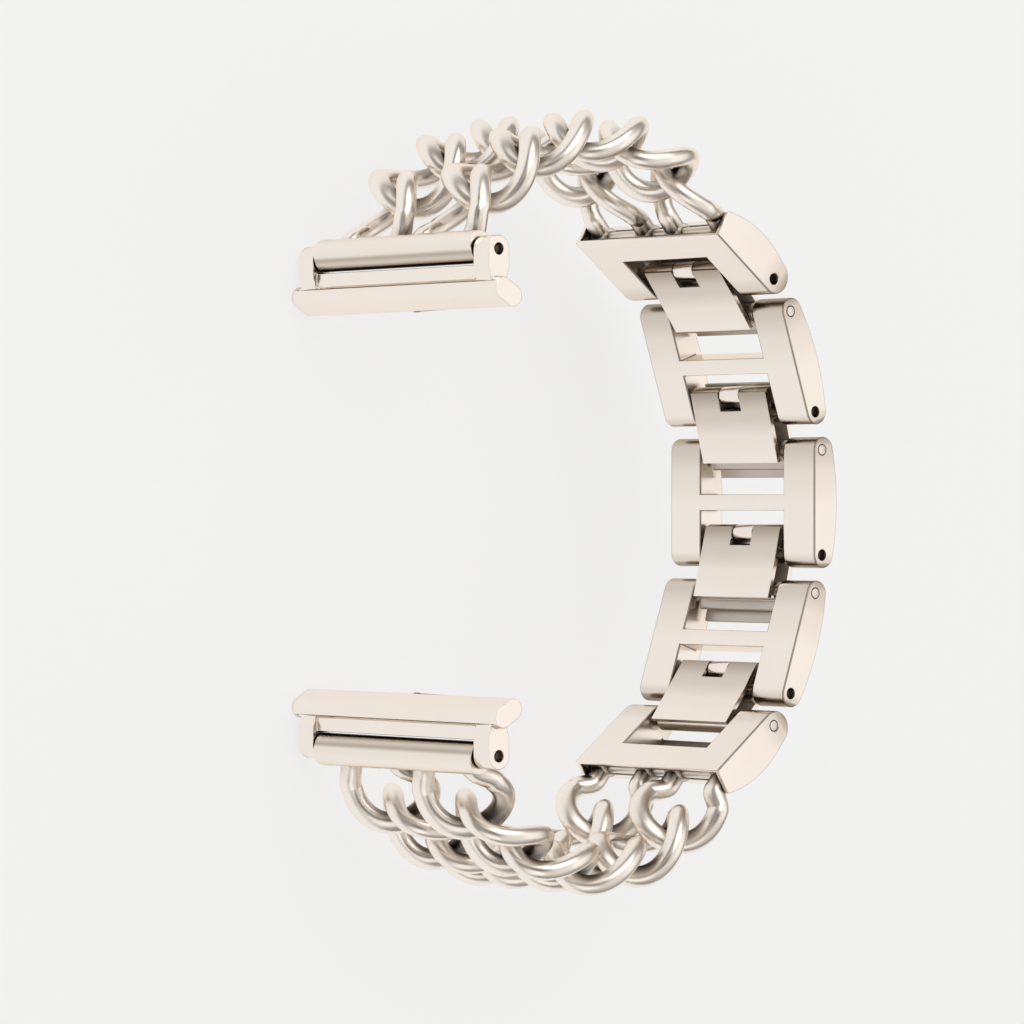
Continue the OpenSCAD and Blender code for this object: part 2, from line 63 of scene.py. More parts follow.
# %% Joints and bodies by name
pins = {j["name"]: Vector(j["pos_m"]) for j in frame["joints"] if j["type"] == "hinge"}
bodies = frame["record"]["behaviour"]["bodies"]
body_of_node = {node: body for body, nodes in bodies.items() for node in nodes}
print("pins:", len(pins), "bodies:", len(bodies))


# %% Work on one object at a time
def alone(piece):
    """Selects one object, so that an operator can't touch the others."""
    bpy.ops.object.select_all(action="DESELECT")
    piece.select_set(True)
    bpy.context.view_layer.objects.active = piece


def apply_modifier(piece, kind, name, **settings):
    """Adds a modifier, sets it and applies it."""
    alone(piece)
    modifier = piece.modifiers.new(name, kind)
    for key, value in settings.items():
        setattr(modifier, key, value)
    bpy.ops.object.modifier_apply(modifier=modifier.name)


# %% [markdown]
# ## The camera
# The picture looks at the loop from its open side, half from the front. The band lies on its
# side here, so the camera stands 49 degrees above the floor and looks down on it, with twelve
# o'clock up. A wide lens close by would spread the two rows of chain apart. A long lens from
# 45 cm keeps them nearly the same size, as in a catalogue picture.

# %% Camera
TILT = math.radians(49)
DISTANCE = 450 * MM
PICTURE = 1024  # pixels, each way
PIXELS_PER_SLOPE = 4770  # focal length in pixels of the picture
PIXELS_UP = 8.5  # how far the middle of the view lies above the picture's middle
SENSOR = 36  # a common sensor's width, in millimetres
NEAREST = 10 * MM
AIM = Vector((-9.04, -0.1, 14.8)) * MM
back = Vector((-math.cos(TILT), 0, math.sin(TILT)))

camera_data = bpy.data.cameras.new("camera")
camera_data.sensor_width = SENSOR
camera_data.lens = SENSOR * PIXELS_PER_SLOPE / PICTURE
camera_data.shift_y = -PIXELS_UP / PICTURE
camera_data.clip_start = NEAREST
camera = bpy.data.objects.new("camera", camera_data)
camera.location = AIM + DISTANCE * back
camera.rotation_euler = (0, TILT - math.pi / 2, 0)
bpy.context.scene.collection.objects.link(camera)
bpy.context.scene.camera = camera
print("lens:", round(camera_data.lens, 1), "mm")

# %% [markdown]
# ## Floor and light
# Metal has little colour of its own: it shows the room. A plain studio is a pale table under
# big soft lamps with a darker room around it. The pale table and lamps make the light faces,
# and the darker room draws the soft dark lines along each wire and edge.

# %% Floor
PALE = 0.93  # the same pale grey for the table and for its paper
TABLE = 6  # metres, far past the picture's edge


def shader_tree(material):
    """A material's nodes and links, and its main shader."""
    material.use_nodes = True
    tree = material.node_tree
    return tree.nodes, tree.links, tree.nodes["Principled BSDF"]


bpy.ops.mesh.primitive_plane_add(size=TABLE)
floor = bpy.context.object
floor.name = "floor"
floor_paint = bpy.data.materials.new("pale_table")
nodes, links, paint = shader_tree(floor_paint)
paint.inputs["Base Color"].default_value = (PALE, PALE, PALE, 1)
paint.inputs["Roughness"].default_value = 0.9
paint.inputs["Specular IOR Level"].default_value = 0.1
floor.data.materials.append(floor_paint)
print("floor:", TABLE, "m wide")

# %% [markdown]
# ## An even floor
# A lit table is never perfectly even, but the pale paper of a studio nearly is. A stronger lamp
# would even it out, and wash the shadow away as well. So what the camera and the metal see of
# the floor is part painted table, which keeps the band's soft shadow, and part plain pale
# paper, which shines by itself a little.

# %% Even the floor out
CAMERA_SHARE = 0.8  # how much of what the camera sees is paper
METAL_SHARE = 0.9  # and of what the metal mirrors
seen = nodes.new("ShaderNodeLightPath")
paper = nodes.new("ShaderNodeEmission")
paper.inputs["Color"].default_value = (PALE, PALE, PALE, 1)
paper.inputs["Strength"].default_value = 1.0


def math_node(operation, first, second):
    """A Math node whose inputs are sockets or plain numbers."""
    node = nodes.new("ShaderNodeMath")
    node.operation = operation
    for socket, value in zip(node.inputs, (first, second)):
        if isinstance(value, (int, float)):
            socket.default_value = value
        else:
            links.new(value, socket)
    return node.outputs["Value"]


by_camera = math_node("MULTIPLY", seen.outputs["Is Camera Ray"], CAMERA_SHARE)
in_metal = math_node("MAXIMUM", seen.outputs["Is Glossy Ray"], seen.outputs["Is Transmission Ray"])
share = math_node("MAXIMUM", by_camera, math_node("MULTIPLY", in_metal, METAL_SHARE))
mixed = nodes.new("ShaderNodeMixShader")
links.new(share, mixed.inputs["Fac"])
links.new(paint.outputs["BSDF"], mixed.inputs[1])
links.new(paper.outputs["Emission"], mixed.inputs[2])
links.new(mixed.outputs["Shader"], nodes["Material Output"].inputs["Surface"])
print("paper share: camera", CAMERA_SHARE, "metal", METAL_SHARE)

# %% [markdown]
# ## Lamps
# Small lamps would leave hard white dots on every wire. Three large square ones give long soft
# highlights instead: the key from above, a weaker fill from the left and one from behind.

# %% Lamps
BAND_MIDDLE = Vector((0, 0, 0.015))
LAMPS = (  # name, place and width in metres, power in watts
    ("key", (-0.10, 0.45, 0.45), 0.6, 1.2),
    ("fill", (-0.50, -0.35, 0.30), 0.5, 0.5),
    ("back", (0.45, 0.0, 0.50), 0.6, 0.42),
)
for name, place, width, power in LAMPS:
    data = bpy.data.lights.new(name, "AREA")
    data.size = width
    data.energy = power
    lamp = bpy.data.objects.new(name, data)
    lamp.location = place
    lamp.rotation_euler = (BAND_MIDDLE - Vector(place)).to_track_quat("-Z", "Y").to_euler()
    bpy.context.scene.collection.objects.link(lamp)
print("lamps:", [name for name, *_ in LAMPS])

# %% [markdown]
# ## The room around the table
# An evenly bright room would leave the steel flat and pale. A real room is bright at its
# ceiling, and brown and dark low down, and rounded steel shows that as a soft fall from light
# to dark. A colour ramp over the height of the view is enough for it.

# %% The room
world = bpy.data.worlds.new("studio")
bpy.context.scene.world = world
world.use_nodes = True
nodes, links = world.node_tree.nodes, world.node_tree.links
direction = nodes.new("ShaderNodeTexCoord")
height = nodes.new("ShaderNodeSeparateXYZ")
room = nodes.new("ShaderNodeValToRGB")
links.new(direction.outputs["Generated"], height.inputs[0])
links.new(height.outputs["Z"], room.inputs["Fac"])


def fill_ramp(ramp, stops):
    """Sets a colour ramp. The first two stops are its two ends, 0 and 1."""
    elements = ramp.color_ramp.elements
    for k, (place, colour) in enumerate(stops):
        stop = elements[k] if k < 2 else elements.new(place)
        stop.position = place
        stop.color = (*colour, 1)


# height of the view, brightness, and share of blue: low down the room is dark and brown
ROOM = ((0.0, 0.10, 0.75), (1.0, 0.80, 0.93))
fill_ramp(room, [(z, (light, light * (1 + blue) / 2, light * blue)) for z, light, blue in ROOM])
nodes["Background"].inputs["Strength"].default_value = 1.0
print("room:", len(ROOM), "stops")

# %% [markdown]
# ## A dark doorway
# The long edges between a link's inner face and its cheek mirror one spot of the room, above
# and to the left. On the real links they show as fine dark lines, which a bright wall would
# never draw. A black card on a stand would do it in a studio. Here a soft dark doorway in the
# room does it, made from the angle between the view and the doorway's direction.

# %% The doorway
DOORWAY = Vector((-0.66, 0.12, 0.74)).normalized()
DOOR_INNER = math.cos(math.radians(9))  # full dark within this angle
DOOR_OUTER = math.cos(math.radians(24))  # and plain room past this one
DOOR_STRENGTH = 0.9
DOOR_BROWN = (0.03, 0.024, 0.018, 1)
towards = nodes.new("ShaderNodeVectorMath")
towards.operation = "DOT_PRODUCT"
towards.inputs[1].default_value = DOORWAY
links.new(direction.outputs["Generated"], towards.inputs[0])
door = nodes.new("ShaderNodeMapRange")
door.inputs["From Min"].default_value = DOOR_OUTER
door.inputs["From Max"].default_value = DOOR_INNER
door.inputs["To Max"].default_value = DOOR_STRENGTH
links.new(towards.outputs["Value"], door.inputs["Value"])
studio = nodes.new("ShaderNodeMix")
studio.data_type = "RGBA"
studio.inputs["B"].default_value = DOOR_BROWN
links.new(door.outputs["Result"], studio.inputs["Factor"])
links.new(room.outputs["Color"], studio.inputs["A"])
links.new(studio.outputs["Result"], nodes["Background"].inputs["Color"])
print("doorway:", [round(x, 2) for x in DOORWAY])

# %% [markdown]
# ## Steel finishes
# All of the band has one warm, pale coating over steel. What differs is the surface under it:
# links and plates are rubbed even, with a very fine grain. The wire is tumbled in a barrel,
# which leaves a brighter but softer shine. The pins are bare steel, a little greyer.
#
# Two things give plain steel its depth, and both are painted shade. Nooks are painted darker,
# as shade falls there. A painted mask would have to be redone for each piece. The ambient
# occlusion node finds such places by how much of the open air a point sees. And a plate that
# has been held to a wheel is a hair's breadth rounder at its ends, which shows as a soft shade
# along it. That rounding isn't modelled, so the shade is painted on, as a ramp along the piece.

# %% What the finishes share
# painted shade in the nooks: the colour it darkens towards, and how deep it goes
NOOK_PAINTED_SHADE = (0.035, 0.028, 0.022, 1)
NOOK_SHADE_SHARE = 0.12  # share of the coating's colour that is left in the deepest nook
OPEN_AIR_SAMPLES = 6
UNEVEN = 250  # scale of the slow change in how smooth the steel is
GRAIN_TINT = 0.98  # how much darker the grain's low spots are
GRAIN_STRENGTH = 0.03


def mix_colours(nodes, links, first, second, factor, blend="MIX"):
    """Mixes two colours, each a socket or a plain colour, by a socket or a number."""
    node = nodes.new("ShaderNodeMix")
    node.data_type = "RGBA"
    node.blend_type = blend
    for key, value in (("A", first), ("B", second), ("Factor", factor)):
        if isinstance(value, bpy.types.NodeSocket):
            links.new(value, node.inputs[key])
        else:
            node.inputs[key].default_value = value
    return node.outputs["Result"]


def map_range(nodes, links, value, source, target):
    """Carries a value from one range over to another."""
    node = nodes.new("ShaderNodeMapRange")
    for key, number in zip(("From Min", "From Max", "To Min", "To Max"), (*source, *target)):
        node.inputs[key].default_value = number
    links.new(value, node.inputs["Value"])
    return node.outputs["Result"]


# %% Painted shade along a piece
def paint_shade_along(nodes, links, colour, shade):
    """Paints shade on a colour: multiplies it by a ramp along the piece, which its UV map measures."""
    along = nodes.new("ShaderNodeUVMap")
    along.uv_map = "along"
    parts = nodes.new("ShaderNodeSeparateXYZ")
    ramp = nodes.new("ShaderNodeValToRGB")
    # the powers take more green and blue away than red, so the shade is warm
    fill_ramp(ramp, [(x, (light, light ** 1.1, light ** 1.25)) for x, light in shade])
    ramp.color_ramp.interpolation = "EASE"
    links.new(along.outputs["UV"], parts.inputs[0])
    links.new(parts.outputs["X"], ramp.inputs["Fac"])
    return mix_colours(nodes, links, colour, ramp.outputs["Color"], 1.0, "MULTIPLY")


# %% A steel with a fine grain
def steel(name, colour, roughness, grain, depth, reach, nooks, shade=()):
    """Metal with a fine grain, painted shade in its nooks and, where asked, painted shade along the piece."""
    finish = bpy.data.materials.new(name)
    nodes, links, shader = shader_tree(finish)
    shader.inputs["Metallic"].default_value = 1.0
    shader.inputs["Specular Tint"].default_value = (*colour, 1)  # keeps the slanting view warm
    place = nodes.new("ShaderNodeTexCoord")

    def noise(scale, detail):
        texture = nodes.new("ShaderNodeTexNoise")
        texture.inputs["Scale"].default_value = scale
        texture.inputs["Detail"].default_value = detail
        links.new(place.outputs["Object"], texture.inputs["Vector"])
        return texture.outputs["Fac"]

    # a noise stays near its middle, so only that part of it is stretched over the range
    uneven = map_range(nodes, links, noise(UNEVEN, 1), (0.3, 0.7), roughness)
    links.new(uneven, shader.inputs["Roughness"])
    fine = noise(grain, 2)
    low_spots = (*[c * GRAIN_TINT for c in colour], 1)
    coat = mix_colours(nodes, links, low_spots, (*colour, 1), fine)
    if shade:
        coat = paint_shade_along(nodes, links, coat, shade)
    # painted shade: the less open air a point sees, the darker its colour is painted
    open_air = nodes.new("ShaderNodeAmbientOcclusion")
    open_air.samples = OPEN_AIR_SAMPLES
    open_air.inputs["Distance"].default_value = reach
    unshaded_share = map_range(nodes, links, open_air.outputs["AO"], nooks, (NOOK_SHADE_SHARE, 1.0))
    nook_shaded_coat = mix_colours(nodes, links, NOOK_PAINTED_SHADE, coat, unshaded_share)
    links.new(nook_shaded_coat, shader.inputs["Base Color"])
    bump = nodes.new("ShaderNodeBump")
    bump.inputs["Strength"].default_value = GRAIN_STRENGTH
    bump.inputs["Distance"].default_value = depth
    links.new(fine, bump.inputs["Height"])
    links.new(bump.outputs["Normal"], shader.inputs["Normal"])
    return finish


# %% Colours, grains and shades
COATING = (0.98, 0.905, 0.825)
WIRE_COATING = (1.0, 0.93, 0.85)
BARE_STEEL = (0.84, 0.79, 0.72)
# darker colours, painted as shade on the rough insides and on the folded links' lips
ROUGH_SHADED_STEEL = (0.42, 0.37, 0.32)
HALF_SHADED_STEEL = (0.60, 0.54, 0.48)
FINE, COARSE = 12000, 6000  # scale of the grain
TIGHT = (0.05, 0.65)  # only tight nooks get painted shade
WIDE = (0.3, 0.85)  # wide hollows get painted shade too, as between the chain's rings
# painted shade: how light a piece is painted at each place along it; the first two places are its two ends
PLATE_SHADE = ((0.0, 0.30), (1.0, 0.20), (0.03, 0.55), (0.07, 0.72), (0.30, 0.92),
    (0.55, 1.0), (0.88, 1.0), (0.955, 0.80), (0.975, 0.40))
END_SHADE = ((0.0, 1.0), (1.0, 0.35), (0.65, 0.98), (0.88, 0.82), (0.94, 0.60))
LID_SHADE = ((0.0, 0.42), (1.0, 1.0), (0.35, 0.76), (0.7, 0.97))
TUBE_SHADE = ((0.0, 0.90), (1.0, 0.20), (0.2, 1.0), (0.55, 0.95), (0.68, 0.55), (0.80, 0.72))


# %% The finishes
def coated(name, shade=()):
    """The plain coating of plates, rails and tubes."""
    return steel(name, COATING, (0.20, 0.25), FINE, 0.004 * MM, 1.2 * MM, TIGHT, shade)


plain = coated("rail_coating")
satin = coated("satin_coating", PLATE_SHADE)
end_satin = coated("end_link_coating", END_SHADE)
lid_satin = coated("lid_coating", LID_SHADE)
tube = coated("tube_coating", TUBE_SHADE)
fold_satin = steel("folded_sheet_coating", COATING, (0.22, 0.28), FINE, 0.004 * MM, 0.5 * MM, TIGHT)
polish = steel("polished_coating", WIRE_COATING, (0.26, 0.33), COARSE, 0.003 * MM, 2.4 * MM, WIDE)
bare = steel("bare_pin_steel", BARE_STEEL, (0.28, 0.36), FINE, 0.004 * MM, 0.6 * MM, TIGHT)
unpolished_and_shaded = steel("unpolished_shaded_inside", ROUGH_SHADED_STEEL, (0.40, 0.50), COARSE, 0.008 * MM, 1.6 * MM,
    WIDE)
sheet = steel("sheet_inside", COATING, (0.55, 0.65), COARSE, 0.006 * MM, 0.3 * MM, TIGHT)
half_polished_and_shaded = steel("half_polished_shaded_lip", HALF_SHADED_STEEL, (0.30, 0.40), COARSE, 0.006 * MM,
    0.8 * MM, TIGHT)
print("finishes:", sorted(m.name for m in bpy.data.materials if m.name != floor_paint.name))

# %% [markdown]
# ## Bending the chain
# The chain is bent from flattened wire, and each ring is twisted by a quarter turn from end to
# end, so that its neighbours can pass through it and lie flat. A torus with a Simple Deform
# twist comes to mind, but that shears the wire and makes it thin at the ring's sides. So the
# wire is swept instead: its section is carried along a line and kept square to it, as a
# bending machine does. The wire keeps its full thickness all the way.

# %% Sizes of the wire
WIRE_W = 2.1 * MM
WIRE_T = 1.8 * MM
SQUARENESS = 2.3  # 2 gives an oval section, more a squarer one
SIDES = 24


def squarer(part):
    """Pushes a circle's sine or cosine outward, towards a square."""
    return math.copysign(abs(part) ** (2 / SQUARENESS), part)


corners = []
for k in range(SIDES):
    turn = 2 * math.pi * (k + 0.5) / SIDES
    corners.append((squarer(math.cos(turn)) * WIRE_T / 2, squarer(math.sin(turn)) * WIRE_W / 2))
print("wire:", round(WIRE_W / MM, 2), "by", round(WIRE_T / MM, 2), "mm,", SIDES, "sides")


# %% Sweep the wire along a line
def sweep(name, line, flats, closed):
    """Carries the wire's section along a line; flats are the directions its flat side faces."""
    count = len(line)
    points = []
    for i in range(count):
        after = line[(i + 1) % count] if closed else line[min(i + 1, count - 1)]
        before = line[i - 1] if closed else line[max(i - 1, 0)]
        along = (after - before).normalized()
        broad = along.cross(flats[i]).normalized()
        flat = broad.cross(along)
        points += [line[i] + t * flat + w * broad for t, w in corners]
    faces = []
    for i in range(count if closed else count - 1):
        here, there = i * SIDES, (i + 1) % count * SIDES
        for k in range(SIDES):
            k2 = (k + 1) % SIDES
            faces.append((here + k, there + k, there + k2, here + k2))
    if not closed:
        faces += [tuple(range(SIDES)), tuple(range((count - 1) * SIDES, count * SIDES))]
    mesh = bpy.data.meshes.new(name)
    mesh.from_pydata(points, [], faces)
    piece = bpy.data.objects.new(name, mesh)
    bpy.context.scene.collection.objects.link(piece)
    alone(piece)
    bpy.ops.object.mode_set(mode="EDIT")
    bpy.ops.mesh.select_all(action="SELECT")
    bpy.ops.mesh.normals_make_consistent(inside=False)
    bpy.ops.object.mode_set(mode="OBJECT")
    return piece


# %% A closed ring
RING_W = 10.3 * MM
RING_PLAY = 0.25 * MM
RING_TWIST = math.radians(45)
RING_STEPS = 96
pitch = (pins["chain_bend_upper_2"] - pins["chain_bend_upper_1"]).length
ring_a = (pitch + WIRE_W + RING_PLAY) / 2  # half length of the wire's middle line
ring_b = (RING_W - WIRE_W) / 2  # and half its width
hook = ring_a - pitch / 2  # how far that line passes the joint


def turned(x, side, twist):
    """A point at x along the row and to one side, turned about the row's axis."""
    return Vector((x, side * math.sin(twist), side * math.cos(twist)))


def flat_side(twist):
    """The direction that the wire's flat side faces, at a twist."""
    return Vector((0, math.cos(twist), -math.sin(twist)))


def twist_at(x):
    """The twist of a ring grows evenly along it."""
    return RING_TWIST * max(-1, min(1, x / ring_a))


line, flats = [], []
for k in range(RING_STEPS):
    turn = 2 * math.pi * k / RING_STEPS
    x = ring_a * math.cos(turn)
    line.append(turned(x, ring_b * math.sin(turn), twist_at(x)))
    flats.append(flat_side(twist_at(x)))
ring_model = sweep("ring_model", line, flats, closed=True)
print("ring:", len(ring_model.data.polygons), "faces")

# %% [markdown]
# ## The bows at the chain's ends
# The chain can't hook straight onto a pin. Each row ends in a U of the same wire, whose two
# legs run into the tube or the end link and close round the pin in small eyes. The U is swept
# like a ring, each leg gets a short rod joined on for its eye, and one bore goes through both.
# Booleans suit this, because the bore has to be truly round and the eyes truly closed.

# %% The line of a bow
LEG_STRAIGHT = 1.8 * MM
LEG_START = 0.62 * MM
LEAD = 0.35  # share of the twist that is reached where the legs end
BOW_STEPS = 32


def ease(u):
    """Goes from 0 to 1 with a gentle start and end."""
    return u * u * (3 - 2 * u)


def bow(name, length, spread):
    """A U of wire, drawn along X from its pin at the origin."""
    shoulder = length + hook - ring_a
    line, flats = [], []
    for k in range(3 * BOW_STEPS + 1):
        u = k / BOW_STEPS - 1  # 0 to 1 round the bend, outside that along the legs
        leg = max(0, -u, u - 1)
        x = shoulder + ring_a * math.sin(math.pi * u)
        if leg > 0:
            x = shoulder - (shoulder - LEG_START) * leg
        bend = ease(max(0, min(x, shoulder) - LEG_STRAIGHT) / (shoulder - LEG_STRAIGHT))
        side = ring_b * math.cos(math.pi * u)
        if leg > 0:
            side = math.copysign(spread / 2 + (ring_b - spread / 2) * bend, 0.5 - u)
        twist = RING_TWIST * LEAD * bend
        if x > shoulder:
            twist = twist_at(ring_a * LEAD + (1 - LEAD) * (x - shoulder))
        line.append(turned(x, side, twist))
        flats.append(flat_side(twist))
    return sweep(name, line, flats, closed=False)


# %% Rods and cuts
ROD_SIDES = 48


def add_rod(name, radius, depth, place, edge=0):
    """A round rod along Z, with its rims rounded."""
    bpy.ops.object.select_all(action="DESELECT")
    bpy.ops.mesh.primitive_cylinder_add(vertices=ROD_SIDES, radius=radius, depth=depth,
        location=place)
    rod = bpy.context.object
    rod.name = name
    bpy.ops.object.transform_apply(location=True, rotation=True, scale=True)
    if edge:
        apply_modifier(rod, "BEVEL", "rim", width=edge, segments=3, limit_method="ANGLE")
    return rod


def combine(piece, other, operation):
    """Joins two closed shapes, or cuts one from the other."""
    apply_modifier(piece, "BOOLEAN", operation.lower(), operation=operation, object=other,
        solver="EXACT")
    bpy.data.objects.remove(other)


# %% Eyes and bore of a bow
EYE_D = 1.9 * MM
EYE_LENGTH = 0.98 * WIRE_W  # a hair less than the wire, so that no face lies on another
EYE_RIM = 0.15 * MM
BORE_D = 1.08 * MM
LUG_SPREAD = 7.2 * MM
END_SPREAD = 6.4 * MM


def bow_model(name, length, spread):
    """A bow with its two eyes and the bore through them."""
    piece = bow(name, length, spread)
    for side in (-1, 1):
        eye = add_rod("eye", EYE_D / 2, EYE_LENGTH, (0, 0, side * spread / 2), EYE_RIM)
        combine(piece, eye, "UNION")
    combine(piece, add_rod("bore", BORE_D / 2, 4 * spread, (0, 0, 0)), "DIFFERENCE")
    return piece


lug_bow_length = (pins["chain_bend_upper_1"] - pins["lug_turn_upper"]).length
end_bow_length = (pins["end_turn_upper"] - pins["chain_bend_upper_5"]).length
lug_bow_model = bow_model("lug_bow_model", lug_bow_length, LUG_SPREAD)
end_bow_model = bow_model("end_bow_model", end_bow_length, END_SPREAD)
print("bows:", len(lug_bow_model.data.polygons), len(end_bow_model.data.polygons), "faces")

# %% [markdown]
# ## Hanging the chain
# The band has 24 pieces of chain, but only three shapes. A curve or array modifier could lay
# them out, but then one object would hold them all, and none could move. So each piece is a
# copy of its model, carried to the line between its two joints and tied to its own body.

# %% Copy a model between two joints
SMOOTH_ANGLE = math.radians(40)  # edges sharper than this stay sharp in the shading


def finished(piece, node):
    """A finished piece stands for a measured part and moves with it."""
    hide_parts(node)
    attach(piece, body_of_node[node])


def hang(model, node, start, end, way):
    """Copies a wire model to its place between two joints."""
    piece = bpy.data.objects.new(node + "_wire", model.data.copy())
    bpy.context.scene.collection.objects.link(piece)
    run = end - start
    low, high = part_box(node)
    where = Vector((start.x, start.y, (low.z + high.z) / 2))
    place = Matrix.Translation(where) @ Matrix.Rotation(math.atan2(run.y, run.x), 4, "Z")
    if way == "ring":
        place = place @ Matrix.Translation((run.length / 2, 0, 0))
    if way == "back":
        place = place @ Matrix.Translation((run.length, 0, 0)) @ Matrix.Rotation(math.pi, 4, "Y")
    piece.data.transform(place)
    alone(piece)
    bpy.ops.object.shade_smooth_by_angle(angle=SMOOTH_ANGLE)
    piece.data.materials.clear()
    piece.data.materials.append(polish)
    finished(piece, node)


# %% Hang the chain
RINGS = 4  # between the two bows of a row


def joints_along(side):
    """The joints of one half of the chain, in the order of the loop."""
    bends = [f"chain_bend_{side}_{k + 1}" for k in range(RINGS + 1)]
    if side == "upper":
        return ["lug_turn_upper", *bends, "end_turn_upper"]
    return ["end_turn_lower", *bends, "lug_turn_lower"]


hung = 0
for side in ("upper", "lower"):
    stops = [pins[name] for name in joints_along(side)]
    first, last = lug_bow_model, end_bow_model
    if side == "lower":
        first, last = last, first
    models = [first, *[ring_model] * RINGS, last]
    ways = ["ahead", *["ring"] * RINGS, "back"]
    for row in "ab":
        for k, model in enumerate(models):
            hang(model, f"chain_{side}_{row}{k + 1}", stops[k], stops[k + 1], ways[k])
            hung += 1
for model in (ring_model, lug_bow_model, end_bow_model):
    bpy.data.objects.remove(model)
print("pieces of chain:", hung)

# %% [markdown]
# ## Broken edges
# No steel part leaves a workshop with knife edges. A tiny round along every edge catches the
# light and is most of what makes metal look real. The parts could be modelled again with their
# rounds, but the measured ones have true shapes already. So each is copied, its flat faces are
# made whole again, and its edges are bevelled.
#
# The outer links need one more step. Their crossbar meets each arm in the middle of a long
# edge, and no corner of the arm lies there, so a bevel would round the arm's edge right through
# the bar. Two cuts at the bar's sides give the arm those corners, and bar and arm become one
# flat face.


# %% The pins of each link
def link_pins(node):
    """The two pins of a link, in the order of the loop."""
    if node == "end_link_upper":
        return pins["end_turn_upper"], pins["end_fold_1"]
    if node == "end_link_lower":
        return pins["fold_4_end"], pins["end_turn_lower"]
    k = int(node[-1])
    if node.startswith("outer"):
        return pins[f"fold_{k}_outer_{k}"], pins[f"outer_{k}_fold_{k + 1}"]
    above = pins["end_fold_1" if k == 1 else f"outer_{k - 1}_fold_{k}"]
    below = pins["fold_4_end" if k == 4 else f"fold_{k}_outer_{k}"]
    return above, below


BAR_SIDE = 5 * MM ** 2  # each side of a crossbar is larger than this


def bar_sides(node):
    """The two flat sides of an outer link's crossbar: a point on each, and its direction."""
    first, second = link_pins(node)
    run = (second - first).normalized()
    for side in frame["nodes"][node].data.polygons:
        if side.area > BAR_SIDE and abs(side.normal.dot(run)) > 0.99:
            yield side.center.copy(), run


# %% Break the edges of a part
SAME_POINT = 0.001 * MM
SHORTEST = 0.03 * MM  # edges shorter than this are closed up, because they spoil the bevel
FLAT_ANGLE = math.radians(0.5)
SHARP_ANGLE = math.radians(35)


def broken_edges(node, edge, finish):
    """A copy of a measured part with its sharp edges rounded."""
    source = frame["nodes"][node]
    piece = bpy.data.objects.new(node + "_finished", source.data.copy())
    bpy.context.scene.collection.objects.link(piece)
    alone(piece)
    bpy.ops.object.mode_set(mode="EDIT")
    bpy.ops.mesh.select_all(action="SELECT")
    bpy.ops.mesh.customdata_custom_splitnormals_clear()
    if node.startswith("outer_link"):
        for place, direction in bar_sides(node):
            bpy.ops.mesh.select_all(action="SELECT")
            bpy.ops.mesh.bisect(plane_co=place, plane_no=direction)
        bpy.ops.mesh.select_all(action="SELECT")
    bpy.ops.mesh.remove_doubles(threshold=SAME_POINT)
    bpy.ops.mesh.dissolve_degenerate(threshold=SAME_POINT)
    bpy.ops.mesh.dissolve_limited(angle_limit=FLAT_ANGLE)
    bpy.ops.mesh.remove_doubles(threshold=SHORTEST)
    bpy.ops.object.mode_set(mode="OBJECT")
    apply_modifier(piece, "BEVEL", "edges", width=edge, segments=2, limit_method="ANGLE",
        angle_limit=SHARP_ANGLE, use_clamp_overlap=False)
    bpy.ops.object.shade_smooth_by_angle(angle=SMOOTH_ANGLE)
    apply_modifier(piece, "WEIGHTED_NORMAL", "flats", keep_sharp=True)
    piece.data.materials.clear()
    piece.data.materials.append(finish)
    finished(piece, node)
    return piece


# %% Dress the measured parts
DRESS = (  # a word in the part's name, the size of its rounds, its finish and its material
    ("pin", 0.10 * MM, bare, "pin_steel"),
    ("sleeve", 0.10 * MM, tube, "polished_steel"),
    ("lug_adapter", 0.14 * MM, plain, "satin_steel"),
    ("fold_lid", 0.07 * MM, lid_satin, "satin_steel"),
    ("fold_link", 0.07 * MM, fold_satin, "satin_steel"),
    ("end_link", 0.14 * MM, end_satin, "satin_steel"),
    ("outer_link", 0.14 * MM, satin, "satin_steel"),
)
dressed = {}
for node in frame["nodes"]:
    if node.startswith(("chain_upper", "chain_lower")):
        continue  # the wire already stands for these
    edge, finish, slot = next(row[1:] for row in DRESS if row[0] in node)
    dressed[node] = broken_edges(node, edge, finish)
print("dressed parts:", len(dressed))

# %% [markdown]
# ## Which way the shade runs
# The painted soft shade of a plate follows the plate, not the room, so it has to turn with the link.
# Texture coordinates from the object's box would run along the loop's axes instead. A small UV
# map of its own tells each piece how far along itself every corner lies.


# %% Lay the shade along each piece
def lay_along(piece, direction):
    """Writes a UV map that runs from 0 to 1 along a piece."""
    reach = [v.co.dot(direction) for v in piece.data.vertices]
    start, length = min(reach), max(reach) - min(reach)
    along = piece.data.uv_layers.new(name="along")
    for loop in piece.data.loops:
        along.data[loop.index].uv = ((reach[loop.vertex_index] - start) / length, 0.5)


mapped = 0
for node, piece in dressed.items():
    if node.startswith("sleeve"):
        lay_along(piece, Vector((0, -1 if "upper" in node else 1, 0)))
    elif node.startswith(("end_link", "outer_link", "fold")):
        first, second = link_pins(node)
        # an end link's shade starts at its chain, so the lower one's runs backwards
        downwards = -1 if node == "end_link_lower" else 1
        lay_along(piece, downwards * (second - first).normalized())
    else:
        continue
    mapped += 1
print("pieces with a map:", mapped)
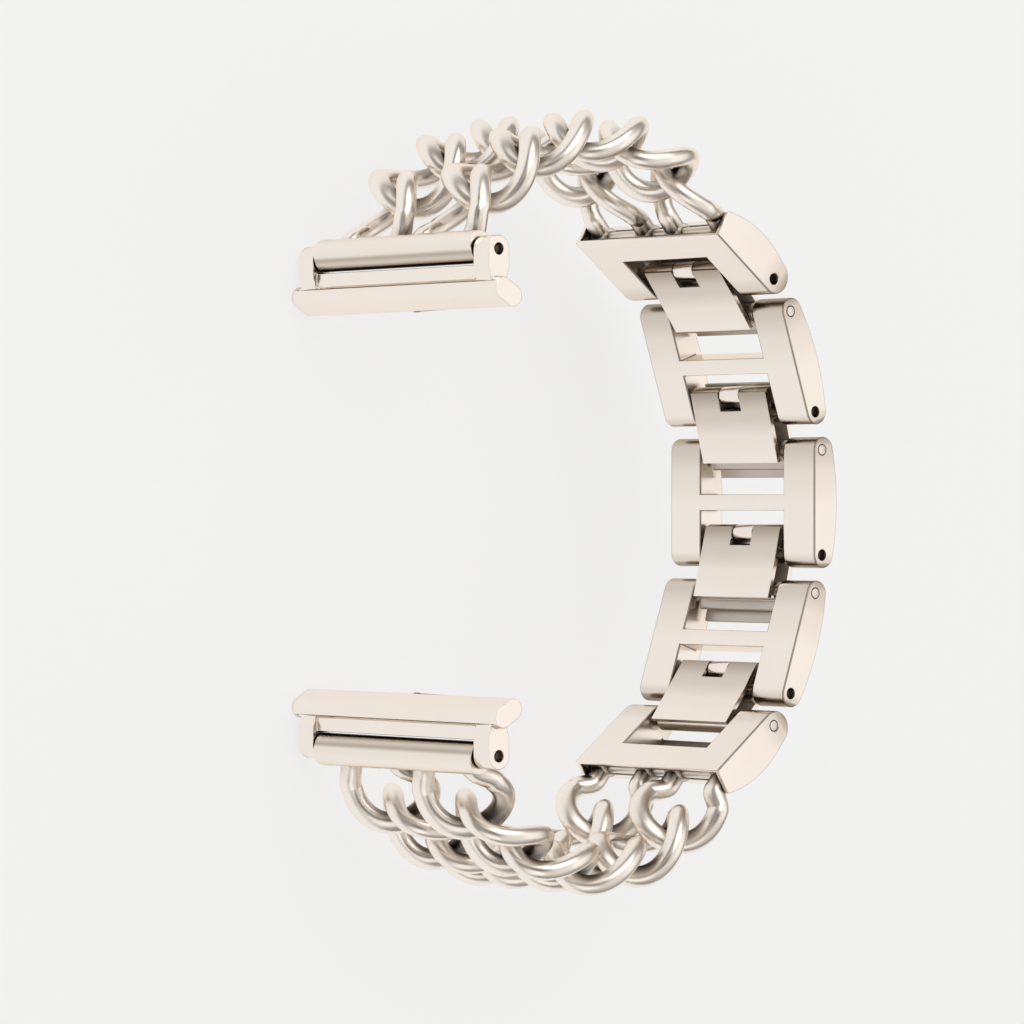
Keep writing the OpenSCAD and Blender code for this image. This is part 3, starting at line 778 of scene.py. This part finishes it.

# %% [markdown]
# ## Unpolished insides and painted shade
# A polishing wheel can't reach into a hollow, so the undersides of the end links' shells, the
# lips of the folded links and the rolled sheet inside them are left rougher. The shells'
# undersides and the lips are also painted darker, as painted shade, and that dark is what makes
# the bright frames around them stand out. A thin dark seam, a painted dark reflection, runs
# along the rounded edges on the wrist's side. Picking such faces by hand would be lost with the
# next change of size, so they are found by which way they look and where they lie, in each
# link's own directions: along it, and outward from the wrist.


# %% Tests that find the inner faces
# past: how far the face lies past the link's pins; height: how far outward from the pins;
# depth: how far outward from the link's inner face; looks_out and looks_up: its direction
def in_shell(past, height, depth, looks_out, looks_up):
    """The underside of an end link's shell."""
    return looks_out < -0.3 and depth > 1.0 * MM


def on_lip(past, height, depth, looks_out, looks_up):
    """The rolled lip of a folded link."""
    return past > 0.4 * MM and looks_out < 0.3 and height > -0.6 * MM


def in_pocket(past, height, depth, looks_out, looks_up):
    """The inside of a folded link's outer sheet."""
    return past < 0 and looks_out < -0.9 and height > 0.5 * MM


def on_seam(past, height, depth, looks_out, looks_up):
    """The rounds between a link's inner face and its cheeks."""
    return looks_out < -0.25 and 0.25 < abs(looks_up) < 0.97 and depth < 1.0 * MM


# %% Give the inner faces their finish
def refinish(node, finish, is_chosen):
    """Gives another finish to the faces that pass a test, and says how many they are."""
    piece = dressed[node]
    first, second = link_pins(node)
    run = (second - first).normalized()
    outward = Vector((-run.y, run.x, 0))
    inner_face = min((v.co - first).dot(outward) for v in piece.data.vertices)
    piece.data.materials.append(finish)
    count = 0
    for face in piece.data.polygons:
        place = face.center - first
        past = max(-place.dot(run), (face.center - second).dot(run))
        height = place.dot(outward)
        if is_chosen(past, height, height - inner_face, face.normal.dot(outward), face.normal.z):
            face.material_index = len(piece.data.materials) - 1
            count += 1
    print(node, finish.name, count, "faces")


# painted shade on the shells' undersides and the lips; the seams get a painted dark reflection
for side in ("upper", "lower"):
    refinish(f"end_link_{side}", unpolished_and_shaded, in_shell)
    refinish(f"end_link_{side}", unpolished_and_shaded, on_seam)
for k in range(1, 5):
    refinish(f"fold_link_{k}", half_polished_and_shaded, on_lip)
    refinish(f"fold_link_{k}", sheet, in_pocket)
for k in range(1, 4):
    refinish(f"outer_link_{k}", unpolished_and_shaded, on_seam)

# %% [markdown]
# ## The view transform
# The colours are shown as they are written, with the Standard view transform.

# %% Show colours as written
bpy.context.scene.view_settings.view_transform = "Standard"
